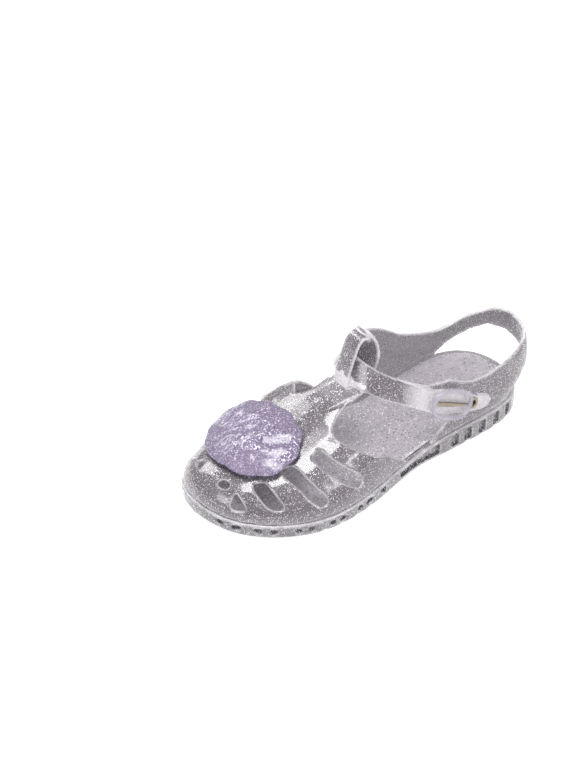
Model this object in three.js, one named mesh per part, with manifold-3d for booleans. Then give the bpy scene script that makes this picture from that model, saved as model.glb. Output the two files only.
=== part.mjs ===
// Child's jelly sandal for the left foot: a clear glitter shoe with a scallop shell over the toes.
// Millimetres. The toe points to +Y, up is +Z, and the shoe's outer side is -X.
// The origin is on the floor, at the middle of the heel's flat tread.
import * as THREE from 'three';
import { mergeVertices } from 'three/addons/utils/BufferGeometryUtils.js';
import Module from 'manifold-3d';

const wasm = await Module();
wasm.setup();

// Driving sizes
const soleLength = 190;       // heel to toe along the floor
const ballHalfWidth = 38.9;   // half of the width across the ball of the foot
const heelHalfWidth = 29;     // half of the heel's width
const heelRimHeight = 11.7;   // floor to the sole's upper edge at the heel
const foreRimHeight = 7.6;    // the same under the ball of the foot
const toeSpring = 3.1;        // how far the tip of the toe is off the floor
const archLift = 1.6;         // how far the arch is off the floor
const heelSeat = 0.17;        // the middle of the heel's tread, as a share of the length
const instepHeight = 62;      // floor to the upper edge of the ankle strap in front
const wall = 2.2;             // thickness of the upper's moulded walls
const edgeStep = 0.7;         // from the sole's edge in to the upper's outer face
const fitGap = 0.3;           // clearance between two pieces that touch
const cutPast = 3;            // how far a cut runs past both faces of a wall

// Sole side: a lip at the floor, windows between upright ribs, and a rim that carries the upper
const treadEdge = 1.0;        // how far the tread's edge stands in from the lip
const lipLow = 0.9;           // the lip's lower edge over the tread
const lipHigh = 2.1;          // the lip's upper edge over the tread
const rimDepth = 2.3;         // height of the rim's upright face
const rimWidth = 3.2;         // width of the rim's flat top
const rimRound = 0.6;         // rounding of the rim's upper edge
const windowDepth = 2.2;      // how far the windows go in
const heelWindow = 4.6;       // width of a window at the heel
const foreWindow = 6.0;       // width of a window's long side in front
const seatDepth = 1.5;        // from the rim's top down to the footbed's seat
const footbedThickness = 1.9;
const footbedRound = 0.5;     // rounding of the footbed's upper edge
const grooveWidth = 2.4;      // of the tread's cross grooves
const grooveDepth = 1.1;
const groovePitch = 9.5;      // from one cross groove to the next

// Strap, tab and buckle
const strapStep = 2.3;        // how far the strap's free end stands over the wall that it lies on
const tabThickness = 2.0;     // of the tab behind the ankle strap and of the flap on it
const tabCrown = 1.1;         // how far the edges of the bar and the tab bend down
const buckleLong = 27.6;       // outer length of the buckle's ring
const buckleTall = 17;        // its outer height
const buckleBar = 2.6;        // thickness of its bar
const buckleSquare = 2.8;     // 2 is an ellipse, more is squarer
const buckleAt = 0.32;        // its middle, as a share of the length
const buckleRise = 0.67;      // the same, as a share of the wall's height
const buckleDrop = 25;        // degrees that its back end hangs down
const prongWidth = 2.4;
const prongThickness = 1.2;
const eyeletAt = 0.243;       // the eyelet's middle, as buckleAt and buckleRise
const eyeletRise = 0.56;
const eyeletBore = 1.5;       // radius of its hole
const eyeletTube = 2.3;       // radius of its tube
const eyeletFlange = 3.7;     // radius of its flange
const eyeletSheet = 0.6;      // thickness of its flange

// Scallop shell over the toes
const shellAt = 0.818;        // its middle, as a share of the length
const shellAside = 0.18;      // and towards the inner side, as a share of the ball's half width
const shellOver = 3.9;        // from the last's ridge up to the shell's edge
const shellPitch = 18.2;      // degrees that it falls towards the toe
const shellLong = 42.5;       // from its hinge to the fan's edge
const shellWide = 51.5;
const shellSquare = 2.25;     // squareness of its outline, 2 is an ellipse
const shellBend = 90;         // radius of its bend over the foot
const shellDome = 3.4;        // height of its middle over its edge
const shellEdge = 1.3;        // thickness at the edge
const shellRim = 0.25;        // share of the reach over which the ribs run out at the edge
const shellFlat = 2.6;        // how flat its middle is: 1 is a cone, more is flatter
const shellRibTurn = 18;      // degrees of the fan from one rib to the next
const shellRibRise = 0.75;
const shellRibStart = 12;     // from the hinge to where the ribs have their full height
const shellLobeSpread = 126;  // degrees of the fan at which the lobes of its edge fade
const shellLobe = 0.055;      // depth of the lobes of the edge, as a share of the reach
const shellSwing = 8;         // degrees that the whole shell is turned on the foot
const shellTurn = -19;        // degrees that the fan turns to the outer side in it
const baseThickness = 1.2;    // of the plate under the shell
const baseShare = 0.93;       // the plate's outline, as a share of the shell's

// Half of the sole's width on each side, as shares of the ball's half width in front
// and of the heel's half width behind, and the share of the length they are at
const outlineRows = [
  { at: 0.0, outer: 0.0, inner: 0.0 },
  { at: 0.015, outer: 0.465, inner: 0.465 },
  { at: 0.05, outer: 0.75, inner: 0.75 },
  { at: 0.1, outer: 0.907, inner: 0.907 },
  { at: 0.17, outer: 0.986, inner: 0.972 },
  { at: 0.28, outer: 0.997, inner: 0.89 },
  { at: 0.4, outer: 0.885, inner: 0.685 },
  { at: 0.52, outer: 0.88, inner: 0.68 },
  { at: 0.62, outer: 0.98, inner: 0.86 },
  { at: 0.7, outer: 1.02, inner: 0.98 },
  { at: 0.78, outer: 0.98, inner: 1.02 },
  { at: 0.86, outer: 0.82, inner: 0.98 },
  { at: 0.92, outer: 0.62, inner: 0.86 },
  { at: 0.965, outer: 0.38, inner: 0.7 },
  { at: 0.99, outer: 0.1, inner: 0.5 },
  { at: 1.0, outer: -0.2, inner: 0.2 },
];

// Ridge of the last over the forefoot: at = share of the length of the section's foot, along = share
// of the length where it reaches the ridge, aside = share of the ball's half width towards the inner
// side, up = share of the instep's height, foot and brow = how far the side stays upright and the top flat,
// swell = bulge of the inner side as a share of the ball's half width
const ankleFront = 0.52;
const frontTurn = 0.35;       // how far the strap's front stands up: 0 lies flat, 1 is upright
const frontBlend = 0.05;      // share of the length over which the ridge lies down again
const wallHandle = 0.4;       // handles of the section curve on the upright walls
const wallLean = 0.6;         // how much the foot of a wall leans in with its top
const ridgeRows = [
  { at: 0.52, along: 0.521, aside: 0.03, up: 1.0, foot: 0.5, brow: 0.5, swell: 0 },
  { at: 0.54, along: 0.537, aside: 0.04, up: 0.89, foot: 0.52, brow: 0.5, swell: 0.02 },
  { at: 0.56, along: 0.555, aside: 0.06, up: 0.81, foot: 0.55, brow: 0.5, swell: 0.06 },
  { at: 0.6, along: 0.595, aside: 0.11, up: 0.758, foot: 0.6, brow: 0.5, swell: 0.13 },
  { at: 0.65, along: 0.642, aside: 0.18, up: 0.71, foot: 0.62, brow: 0.5, swell: 0.17 },
  { at: 0.7, along: 0.689, aside: 0.2, up: 0.637, foot: 0.62, brow: 0.5, swell: 0.15 },
  { at: 0.76, along: 0.742, aside: 0.19, up: 0.566, foot: 0.62, brow: 0.5, swell: 0.08 },
  { at: 0.82, along: 0.795, aside: 0.15, up: 0.516, foot: 0.62, brow: 0.5, swell: 0.03 },
  { at: 0.88, along: 0.842, aside: 0.13, up: 0.468, foot: 0.62, brow: 0.5, swell: 0 },
  { at: 0.94, along: 0.876, aside: 0.14, up: 0.435, foot: 0.62, brow: 0.55, swell: 0 },
  { at: 1.0, along: 0.895, aside: 0.18, up: 0.42, foot: 0.62, brow: 0.6, swell: 0 },
];

// Upper edge of the walls behind the ankle's front, on each side: along, aside and up as above,
// turn = 0 where the wall's top lies flat and 1 where it stands up
const outerTopRows = [
  { at: 0.0, along: -0.021, aside: 0.06, up: 0.725, turn: 1, swell: 0.03 },
  { at: 0.02, along: -0.013, aside: 0.29, up: 0.71, turn: 1, swell: 0.08 },
  { at: 0.05, along: 0.002, aside: 0.45, up: 0.665, turn: 1, swell: 0.12 },
  { at: 0.1, along: 0.046, aside: 0.56, up: 0.605, turn: 1, swell: 0.07 },
  { at: 0.17, along: 0.13, aside: 0.625, up: 0.55, turn: 1, swell: 0.02 },
  { at: 0.22, along: 0.205, aside: 0.64, up: 0.54, turn: 1, swell: 0 },
  { at: 0.27, along: 0.265, aside: 0.64, up: 0.61, turn: 1, swell: 0 },
  { at: 0.31, along: 0.308, aside: 0.63, up: 0.69, turn: 1, swell: 0 },
  { at: 0.35, along: 0.35, aside: 0.63, up: 0.69, turn: 1, swell: 0 },
  { at: 0.39, along: 0.397, aside: 0.6, up: 0.755, turn: 0.97, swell: 0 },
  { at: 0.43, along: 0.445, aside: 0.52, up: 0.84, turn: 0.92, swell: 0 },
  { at: 0.47, along: 0.485, aside: 0.38, up: 0.91, turn: 0.8, swell: 0 },
  { at: 0.5, along: 0.51, aside: 0.2, up: 0.97, turn: 0.6, swell: 0 },
  { at: 0.52, along: 0.521, aside: -0.03, up: 1.0, turn: 0.35, swell: 0 },
];
const innerTopRows = [
  { at: 0.0, along: -0.021, aside: -0.06, up: 0.725, turn: 1, swell: 0.03 },
  { at: 0.02, along: -0.01, aside: 0.2, up: 0.69, turn: 1, swell: 0.0 },
  { at: 0.05, along: 0.014, aside: 0.37, up: 0.625, turn: 1, swell: 0.0 },
  { at: 0.1, along: 0.058, aside: 0.5, up: 0.58, turn: 1, swell: 0 },
  { at: 0.15, along: 0.11, aside: 0.58, up: 0.508, turn: 1, swell: 0 },
  { at: 0.2, along: 0.168, aside: 0.62, up: 0.516, turn: 1, swell: 0 },
  { at: 0.25, along: 0.224, aside: 0.6, up: 0.589, turn: 1, swell: 0 },
  { at: 0.3, along: 0.284, aside: 0.55, up: 0.69, turn: 1, swell: 0 },
  { at: 0.35, along: 0.334, aside: 0.5, up: 0.82, turn: 1, swell: 0 },
  { at: 0.4, along: 0.389, aside: 0.47, up: 0.92, turn: 0.97, swell: 0 },
  { at: 0.45, along: 0.442, aside: 0.42, up: 0.97, turn: 0.9, swell: 0 },
  { at: 0.5, along: 0.5, aside: 0.25, up: 0.995, turn: 0.6, swell: 0 },
  { at: 0.52, along: 0.521, aside: 0.03, up: 1.0, turn: 0.35, swell: 0 },
];

// Openings of the upper and strips on it: for each place round the last, the lower and the upper
// edge as shares of the wall's height; lift = how far a strip stands out, as a share of strapStep
const heelOpening = [
  { round: -0.098, low: -0.15, high: -0.05 },
  { round: -0.094, low: -0.15, high: 0.06 },
  { round: -0.085, low: -0.15, high: 0.2 },
  { round: -0.07, low: -0.15, high: 0.37 },
  { round: -0.05, low: -0.15, high: 0.51 },
  { round: -0.02, low: -0.15, high: 0.62 },
  { round: 0.0, low: -0.15, high: 0.67 },
  { round: 0.02, low: -0.15, high: 0.665 },
  { round: 0.05, low: -0.15, high: 0.59 },
  { round: 0.08, low: -0.15, high: 0.44 },
  { round: 0.105, low: -0.15, high: 0.27 },
  { round: 0.125, low: -0.15, high: 0.06 },
  { round: 0.132, low: -0.15, high: -0.05 },
];
const outerThroat = [
  { round: -0.302, low: 0.255, high: 0.275 },
  { round: -0.315, low: 0.215, high: 0.35 },
  { round: -0.335, low: 0.15, high: 0.435 },
  { round: -0.355, low: 0.09, high: 0.51 },
  { round: -0.375, low: 0.02, high: 0.57 },
  { round: -0.39, low: -0.1, high: 0.6 },
  { round: -0.415, low: -0.1, high: 0.64 },
  { round: -0.44, low: -0.1, high: 0.665 },
  { round: -0.45, low: -0.07, high: 0.67 },
  { round: -0.46, low: 0, high: 0.67 },
  { round: -0.48, low: 0.05, high: 0.67 },
  { round: -0.5, low: 0.09, high: 0.67 },
  { round: -0.525, low: 0.145, high: 0.7 },
  { round: -0.55, low: 0.2, high: 0.74 },
  { round: -0.572, low: 0.25, high: 0.765 },
  { round: -0.594, low: 0.3, high: 0.75 },
  { round: -0.628, low: 0.4, high: 0.7 },
  { round: -0.65, low: 0.49, high: 0.665 },
  { round: -0.662, low: 0.57, high: 0.63 },
];
const innerThroat = [
  { round: 0.385, low: 0.27, high: 0.29 },
  { round: 0.395, low: 0.2, high: 0.4 },
  { round: 0.408, low: 0.13, high: 0.49 },
  { round: 0.42, low: 0.06, high: 0.54 },
  { round: 0.43, low: -0.02, high: 0.58 },
  { round: 0.44, low: -0.1, high: 0.61 },
  { round: 0.45, low: -0.1, high: 0.645 },
  { round: 0.46, low: -0.1, high: 0.67 },
  { round: 0.47, low: -0.05, high: 0.69 },
  { round: 0.48, low: 0.03, high: 0.71 },
  { round: 0.5, low: 0.12, high: 0.74 },
  { round: 0.525, low: 0.24, high: 0.8 },
  { round: 0.54, low: 0.3, high: 0.83 },
  { round: 0.55, low: 0.34, high: 0.85 },
  { round: 0.56, low: 0.38, high: 0.865 },
  { round: 0.572, low: 0.43, high: 0.88 },
  { round: 0.59, low: 0.48, high: 0.905 },
  { round: 0.605, low: 0.535, high: 0.92 },
  { round: 0.62, low: 0.6, high: 0.94 },
  { round: 0.63, low: 0.66, high: 0.95 },
  { round: 0.64, low: 0.74, high: 0.945 },
  { round: 0.65, low: 0.8, high: 0.94 },
  { round: 0.66, low: 0.85, high: 0.91 },
  { round: 0.666, low: 0.872, high: 0.892 },
];

// Ankle strap: its free end on the outer wall, where lift = how far it stands out as a share of
// strapStep, then its stretch over the instep, then its root in the inner wall
const strapEnd = [
  { round: -0.186, low: 0.42, high: 0.45, lift: 1 },
  { round: -0.19, low: 0.34, high: 0.53, lift: 1 },
  { round: -0.198, low: 0.3, high: 0.59, lift: 1 },
  { round: -0.21, low: 0.285, high: 0.645, lift: 1 },
  { round: -0.24, low: 0.325, high: 0.77, lift: 1 },
  { round: -0.27, low: 0.36, high: 0.83, lift: 1 },
  { round: -0.3, low: 0.385, high: 0.84, lift: 1 },
  { round: -0.33, low: 0.45, high: 0.89, lift: 1 },
  { round: -0.36, low: 0.53, high: 0.95, lift: 1 },
  { round: -0.385, low: 0.59, high: 0.985, lift: 0.9 },
  { round: -0.41, low: 0.635, high: 1, lift: 0.7 },
  { round: -0.43, low: 0.66, high: 1, lift: 0.5 },
];
const strapRoot = [
  { round: 0.44, low: 0.69, high: 1, lift: 0.03 },
  { round: 0.42, low: 0.67, high: 0.995, lift: 0.02 },
];
// Its outer face over the instep: aside = share of the ball's half width towards the inner side,
// along = share of the length in front of its middle, up = share of the instep's height, of the
// upper edge; the same three of the lower edge
const strapRows = [
  { aside: -0.4422, along: -0.0258, up: 0.8919, lowAside: -0.6067, lowAlong: -0.0174, lowUp: 0.6968 },
  { aside: -0.3342, along: -0.0026, up: 0.9355, lowAside: -0.5193, lowAlong: 0.0158, lowUp: 0.7516 },
  { aside: -0.2057, along: 0.0121, up: 0.9694, lowAside: -0.3728, lowAlong: 0.0379, lowUp: 0.7855 },
  { aside: -0.0771, along: 0.02, up: 0.9903, lowAside: -0.1928, lowAlong: 0.0495, lowUp: 0.8016 },
  { aside: 0.0386, along: 0.0221, up: 1, lowAside: 0.0129, lowAlong: 0.0526, lowUp: 0.8065 },
  { aside: 0.1542, along: 0.0158, up: 1.0016, lowAside: 0.2185, lowAlong: 0.0463, lowUp: 0.8 },
  { aside: 0.2776, along: -0.0032, up: 0.9968, lowAside: 0.3985, lowAlong: 0.0253, lowUp: 0.7774 },
  { aside: 0.3702, along: -0.0316, up: 0.9839, lowAside: 0.5193, lowAlong: -0.0084, lowUp: 0.7387 },
];
// Where the shell's own top is cut away, and the strap and the bar take its place
const topCut = { from: 0.437, to: 0.575, rise: 0.5 };

// Gaps between the bands over the toes, from the top down: the place and height of their rear and
// their front edge
const vampGaps = [
  [
    { rear: 0.715, rearRise: 0.6, fore: 0.742, foreRise: 0.58 },
    { rear: 0.7, rearRise: 0.48, fore: 0.735, foreRise: 0.47 },
    { rear: 0.677, rearRise: 0.35, fore: 0.71, foreRise: 0.32 },
    { rear: 0.656, rearRise: 0.26, fore: 0.681, foreRise: 0.19 },
    { rear: 0.633, rearRise: 0.17, fore: 0.645, foreRise: 0.1 },
  ],
  [
    { rear: 0.8, rearRise: 0.62, fore: 0.828, foreRise: 0.63 },
    { rear: 0.789, rearRise: 0.56, fore: 0.829, foreRise: 0.56 },
    { rear: 0.78, rearRise: 0.44, fore: 0.818, foreRise: 0.46 },
    { rear: 0.764, rearRise: 0.3, fore: 0.804, foreRise: 0.33 },
    { rear: 0.75, rearRise: 0.2, fore: 0.79, foreRise: 0.21 },
    { rear: 0.752, rearRise: 0.14, fore: 0.772, foreRise: 0.13 },
  ],
  [
    { rear: 0.884, rearRise: 0.58, fore: 0.912, foreRise: 0.59 },
    { rear: 0.878, rearRise: 0.52, fore: 0.915, foreRise: 0.52 },
    { rear: 0.871, rearRise: 0.4, fore: 0.908, foreRise: 0.4 },
    { rear: 0.861, rearRise: 0.27, fore: 0.898, foreRise: 0.27 },
    { rear: 0.862, rearRise: 0.2, fore: 0.884, foreRise: 0.21 },
  ],
  [
    { rear: 0.957, rearRise: 0.46, fore: 0.962, foreRise: 0.46 },
    { rear: 0.949, rearRise: 0.36, fore: 0.967, foreRise: 0.34 },
    { rear: 0.942, rearRise: 0.25, fore: 0.97, foreRise: 0.23 },
    { rear: 0.944, rearRise: 0.19, fore: 0.966, foreRise: 0.18 },
  ],
  [
    { rear: 0.972, rearRise: 0.64, fore: 0.985, foreRise: 0.65 },
    { rear: 0.971, rearRise: 0.58, fore: 0.991, foreRise: 0.56 },
    { rear: 0.975, rearRise: 0.51, fore: 0.987, foreRise: 0.5 },
  ],
];

// Bar from the toes that rises as a tab behind the ankle strap, and the flap folded from it:
// along, up and aside (of the middle) as in the strap's rows, half = half of its width as a share
// of the ball's half width
const tabRows = [
  { along: 0.1421, up: 0.6871, aside: 0.01, half: 0.2057 },
  { along: 0.1, up: 0.7306, aside: -0.02, half: 0.235 },
  { along: 0.0632, up: 0.7629, aside: -0.045, half: 0.257 },
  { along: 0.0342, up: 0.7839, aside: -0.04, half: 0.265 },
  { along: 0.0126, up: 0.8226, aside: -0.015, half: 0.25 },
  { along: -0.0042, up: 0.8806, aside: 0.01, half: 0.2314 },
  { along: -0.0163, up: 0.9516, aside: 0.01, half: 0.2339 },
  { along: -0.0205, up: 1.0323, aside: 0.01, half: 0.2314 },
  { along: -0.0184, up: 1.1129, aside: 0.01, half: 0.2108 },
  { along: -0.0132, up: 1.171, aside: 0.01, half: 0.1645 },
  { along: -0.0089, up: 1.2048, aside: 0.01, half: 0.1028 },
  { along: -0.0068, up: 1.2194, aside: 0.01, half: 0.0386 },
];
const flapRows = [
  { along: -0.0142, up: 1.121, aside: 0.01, half: 0.1337 },
  { along: -0.0032, up: 1.1613, aside: 0.01, half: 0.1337 },
  { along: 0.0105, up: 1.1661, aside: 0.01, half: 0.1337 },
  { along: 0.0237, up: 1.129, aside: 0.01, half: 0.1337 },
  { along: 0.0332, up: 1.0645, aside: 0.01, half: 0.1337 },
  { along: 0.0442, up: 0.9677, aside: 0.01, half: 0.1337 },
  { along: 0.0542, up: 0.879, aside: 0.01, half: 0.1337 },
  { along: 0.0632, up: 0.7903, aside: 0.01, half: 0.1311 },
];

// Windows in the sole's side between its ribs, from heel to toe: middle of each along the edge as a
// share of the length, its width, and the part of its height left at its rear and its front end
const heelWindows = [0.045, 0.09, 0.14, 0.195, 0.245, 0.29];
const archWindow = { from: 0.345, to: 0.495 };
const foreWindows = [0.57, 0.615, 0.66, 0.705, 0.75, 0.795, 0.84, 0.885, 0.925, 0.957, 0.983];
const heelGrooves = 4;
const foreGrooves = 4;
const foreGroovesAt = 0.69;   // their middle, as a share of the length

// Small helpers
const mix = (a, b, t) => a + (b - a) * t;
const clamp01 = (t) => Math.min(1, Math.max(0, t));
const lengthAt = (share) => (share - heelSeat) * soleLength;

// Reads a column of a table at any place, on a smooth curve through its rows
function read(rows, at, column) {
  const last = rows.length - 1;
  if (at <= rows[0].at) return rows[0][column];
  if (at >= rows[last].at) return rows[last][column];
  let i = 0;
  while (rows[i + 1].at < at) i += 1;
  const slope = (k) => {
    const a = rows[Math.max(0, k - 1)];
    const b = rows[Math.min(last, k + 1)];
    return (b[column] - a[column]) / (b.at - a.at);
  };
  const step = rows[i + 1].at - rows[i].at;
  const t = (at - rows[i].at) / step;
  const t2 = t * t;
  const t3 = t2 * t;
  return (2 * t3 - 3 * t2 + 1) * rows[i][column] + (t3 - 2 * t2 + t) * step * slope(i)
    + (3 * t2 - 2 * t3) * rows[i + 1][column] + (t3 - t2) * step * slope(i + 1);
}

// Heights of the sole's underside and of its rim
const floorAt = (at) => {
  const toe = clamp01((at - 0.8) / 0.2);
  const arch = Math.max(0, 1 - ((at - 0.45) / 0.13) ** 2);
  return toeSpring * toe * toe + archLift * arch * arch;
};
const rimAt = (at) => {
  const toe = clamp01((at - 0.8) / 0.2);
  const forward = THREE.MathUtils.smoothstep(at, 0.22, 0.7);
  return mix(heelRimHeight, foreRimHeight, forward) + toeSpring * toe * toe;
};

// The sole's edge as one closed curve, and each half of it read by share of length or of edge
function edgeCurve() {
  const half = (at) => mix(heelHalfWidth, ballHalfWidth, clamp01((at - 0.28) / 0.24));
  const point = (row, x) => new THREE.Vector3(x * half(row.at), lengthAt(row.at), 0);
  const points = outlineRows.map((row) => point(row, -row.outer));
  const back = outlineRows.slice(1, -1).reverse();
  back.forEach((row) => points.push(point(row, row.inner)));
  return new THREE.CatmullRomCurve3(points, true, 'centripetal');
}

function edgeHalves() {
  const samples = 2400;
  const all = edgeCurve().getSpacedPoints(samples);
  let tip = 0;
  let tail = 0;
  all.forEach((p, i) => {
    if (p.y > all[tip].y) tip = i;
    if (p.y < all[tail].y) tail = i;
  });
  const walk = (step) => {
    const half = [];
    let i = tail;
    while (i !== tip) {
      half.push(all[i]);
      i = (i + step + samples) % samples;
    }
    half.push(all[tip]);
    return half;
  };
  return { outer: walk(1), inner: walk(-1) };
}

const halves = edgeHalves();

// Place on the edge: side is -1 for the outer side and 1 for the inner one
function edgeByShare(side, at) {
  const half = side < 0 ? halves.outer : halves.inner;
  const y0 = half[0].y;
  const y1 = half[half.length - 1].y;
  const y = mix(y0, y1, clamp01(at));
  let low = 0;
  let high = half.length - 1;
  while (high - low > 1) {
    const mid = (low + high) >> 1;
    if (half[mid].y <= y) low = mid;
    else high = mid;
  }
  const span = half[high].y - half[low].y;
  const t = span > 0 ? clamp01((y - half[low].y) / span) : 0;
  return low + t;
}

function edgePlace(side, index) {
  const half = side < 0 ? halves.outer : halves.inner;
  const low = Math.min(half.length - 2, Math.floor(index));
  const place = half[low].clone().lerp(half[low + 1], index - low);
  const before = half[Math.max(0, low - 8)];
  const after = half[Math.min(half.length - 1, low + 9)];
  const out = new THREE.Vector3(after.y - before.y, before.x - after.x, 0).multiplyScalar(side);
  if (low < 8) out.x *= low / 8;
  if (low > half.length - 10) out.x *= (half.length - 2 - low) / 8;
  return { place, out: out.normalize() };
}

// Point of the last's surface. round = share of the length of the section's foot, below 0 on the outer
// side and above 0 on the inner one; rise = 0 at the rim and 1 at the top; depth = below the surface.
function lastPoint(round, rise, depth) {
  const side = round < 0 ? -1 : 1;
  const at = Math.abs(round);
  const { place, out } = edgePlace(side, edgeByShare(side, at));
  const foot = place.clone().addScaledVector(out, -(edgeStep + depth));
  foot.z = rimAt(at) + fitGap;

  const behind = at < ankleFront;
  const rows = side < 0 ? outerTopRows : innerTopRows;
  const topRow = behind ? rows : ridgeRows;
  const turn = behind ? read(rows, at, 'turn') : frontTurn * (1 - clamp01((at - ankleFront) / frontBlend));
  const aside = read(topRow, at, 'aside') * ballHalfWidth;
  const top = new THREE.Vector3(
    behind ? side * aside : aside,
    lengthAt(read(topRow, at, 'along')),
    read(topRow, at, 'up') * instepHeight,
  );
  const flat = new THREE.Vector3(place.x - top.x, place.y - top.y, 0).normalize();
  const straight = foot.clone().sub(top).normalize();
  const topWay = flat.clone().lerp(straight, turn).normalize();
  const slope = new THREE.Vector3(0, ridgeSlope(at), 1).normalize();
  const facing = slope.lerp(out, turn).normalize();
  top.addScaledVector(facing, -depth);

  const height = top.z - foot.z;
  const reach = Math.hypot(top.x - foot.x, top.y - foot.y);
  const upright = behind ? clamp01((turn - frontTurn) / (1 - frontTurn)) : 0;
  const footShare = mix(read(ridgeRows, at, 'foot'), wallHandle, upright);
  const browShare = mix(read(ridgeRows, at, 'brow'), wallHandle, upright);
  const footWay = new THREE.Vector3(0, 0, 1).lerp(straight.clone().negate(), turn * wallLean).normalize();
  const lower = foot.clone().addScaledVector(footWay, footShare * height);
  const upper = top.clone().addScaledVector(topWay, browShare * mix(reach, height, turn));
  const swell = behind || side > 0 ? read(topRow, at, 'swell') * ballHalfWidth : 0;
  lower.addScaledVector(out, swell);
  upper.addScaledVector(out, swell);
  const curve = new THREE.CubicBezierCurve3(foot, lower, upper, top);
  if (rise > 1) {
    const beyond = topWay.negate().multiplyScalar((rise - 1) * height);
    return top.add(beyond);
  }
  if (rise < 0) return foot.add(new THREE.Vector3(0, 0, rise * height));
  return curve.getPoint(rise);
}

// How fast the ridge falls towards the toe
function ridgeSlope(at) {
  const step = 0.01;
  const middle = Math.max(ankleFront + step, Math.min(1 - step, at));
  const a = middle - step;
  const b = middle + step;
  const fall = (read(ridgeRows, a, 'up') - read(ridgeRows, b, 'up')) * instepHeight;
  const run = (read(ridgeRows, b, 'along') - read(ridgeRows, a, 'along')) * soleLength;
  return 0.8 * fall / run;
}


// Geometry from loose triangles
function meshOf(triangles) {
  const geometry = new THREE.BufferGeometry();
  geometry.setAttribute('position', new THREE.Float32BufferAttribute(triangles.flat(), 3));
  return mergeVertices(geometry, 1e-4);
}

function addQuad(list, a, b, c, d) {
  list.push([...a.toArray(), ...b.toArray(), ...c.toArray()]);
  list.push([...a.toArray(), ...c.toArray(), ...d.toArray()]);
}

// Hollow shell of the whole last: two skins, joined round the rim and round the collar
function lastShell() {
  const stations = sectionShares();
  const steps = 8;
  const front = stations.findIndex((at) => at >= ankleFront - 1e-9);
  const triangles = [];
  const skin = (side, depth) => stations.map((at, j) => {
    const row = [];
    const shared = j === 0 || j === stations.length - 1;
    for (let i = 0; i <= steps; i += 1) {
      const point = lastPoint(side * at, i / steps, depth);
      if (shared || (i === steps && j >= front)) {
        point.lerp(lastPoint(-side * at, i / steps, depth), 0.5);
      }
      row.push(point);
    }
    return row;
  });
  for (const side of [-1, 1]) {
    const outside = skin(side, 0);
    const inside = skin(side, wall);
    const turned = side < 0;
    const quad = (a, b, c, d) => (turned ? addQuad(triangles, a, d, c, b) : addQuad(triangles, a, b, c, d));
    for (let j = 0; j + 1 < stations.length; j += 1) {
      for (let i = 0; i < steps; i += 1) {
        quad(outside[j][i], outside[j + 1][i], outside[j + 1][i + 1], outside[j][i + 1]);
        quad(inside[j][i], inside[j][i + 1], inside[j + 1][i + 1], inside[j + 1][i]);
      }
      quad(outside[j][0], inside[j][0], inside[j + 1][0], outside[j + 1][0]);
      if (j < front) {
        quad(outside[j][steps], outside[j + 1][steps], inside[j + 1][steps], inside[j][steps]);
      }
    }
  }
  return meshOf(triangles);
}

// Places of the sections: close together round the heel, the ankle and the toe
function sectionShares() {
  const zones = [[0, 8, 0.1], [0.1, 9, 0.4], [0.4, 6, ankleFront], [ankleFront, 3, 0.57], [0.57, 11, 0.9]];
  const list = [];
  zones.forEach(([from, count, to], zone) => {
    for (let k = 0; k < count; k += 1) {
      const t = k / count;
      list.push(mix(from, to, zone === 0 ? t * t : t));
    }
  });
  const toeCount = 8;
  for (let k = 0; k <= toeCount; k += 1) {
    list.push(1 - 0.1 * (1 - k / toeCount) ** 2);
  }
  return list;
}

// Solid from a geometry, and a geometry from a solid
function solidOf(geometry) {
  const index = geometry.index.array;
  const places = geometry.attributes.position.array;
  const mesh = new wasm.Mesh({
    numProp: 3,
    vertProperties: new Float32Array(places),
    triVerts: new Uint32Array(index),
  });
  return new wasm.Manifold(mesh);
}

function geometryOf(solid) {
  const mesh = solid.getMesh();
  const geometry = new THREE.BufferGeometry();
  geometry.setAttribute('position', new THREE.BufferAttribute(new Float32Array(mesh.vertProperties), 3));
  geometry.setIndex(new THREE.BufferAttribute(new Uint32Array(mesh.triVerts), 1));
  return geometry;
}

// Point of the last that is the same from both sides on the seams at heel, toe and ridge
function seamPoint(round, rise, depth) {
  const at = Math.abs(round);
  const point = lastPoint(round, rise, depth);
  const shared = at < 1e-9 || at > 1 - 1e-9 || (rise >= 1 && at >= ankleFront);
  if (shared) point.lerp(lastPoint(round > 0 ? -at : at + 1e-12, rise, depth), 0.5);
  return point;
}

// Closed body between two skins given as rows of points, the outside one first
function slabOf(outside, inside) {
  const triangles = [];
  const rows = outside.length;
  const last = outside[0].length - 1;
  for (let j = 0; j + 1 < rows; j += 1) {
    for (let i = 0; i < last; i += 1) {
      addQuad(triangles, outside[j][i], outside[j + 1][i], outside[j + 1][i + 1], outside[j][i + 1]);
      addQuad(triangles, inside[j][i], inside[j][i + 1], inside[j + 1][i + 1], inside[j + 1][i]);
    }
    addQuad(triangles, outside[j][0], inside[j][0], inside[j + 1][0], outside[j + 1][0]);
    addQuad(triangles, outside[j][last], outside[j + 1][last], inside[j + 1][last], inside[j][last]);
  }
  for (let i = 0; i < last; i += 1) {
    addQuad(triangles, outside[0][i], outside[0][i + 1], inside[0][i + 1], inside[0][i]);
    const end = rows - 1;
    addQuad(triangles, outside[end][i], inside[end][i], inside[end][i + 1], outside[end][i + 1]);
  }
  const geometry = meshOf(triangles);
  const solid = solidOf(geometry);
  if (solid.volume() > 0) return solid;
  const index = geometry.index.array;
  for (let k = 0; k < index.length; k += 3) [index[k], index[k + 1]] = [index[k + 1], index[k]];
  return solidOf(geometry);
}

// Rows of a table with more rows put between them on smooth curves
function refine(rows, pieces) {
  const keyed = rows.map((row, k) => ({ ...row, at: k }));
  const list = [];
  for (let k = 0; k <= (rows.length - 1) * pieces; k += 1) {
    const row = {};
    Object.keys(rows[0]).forEach((name) => { row[name] = read(keyed, k / pieces, name); });
    list.push(row);
  }
  return list;
}

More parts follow.
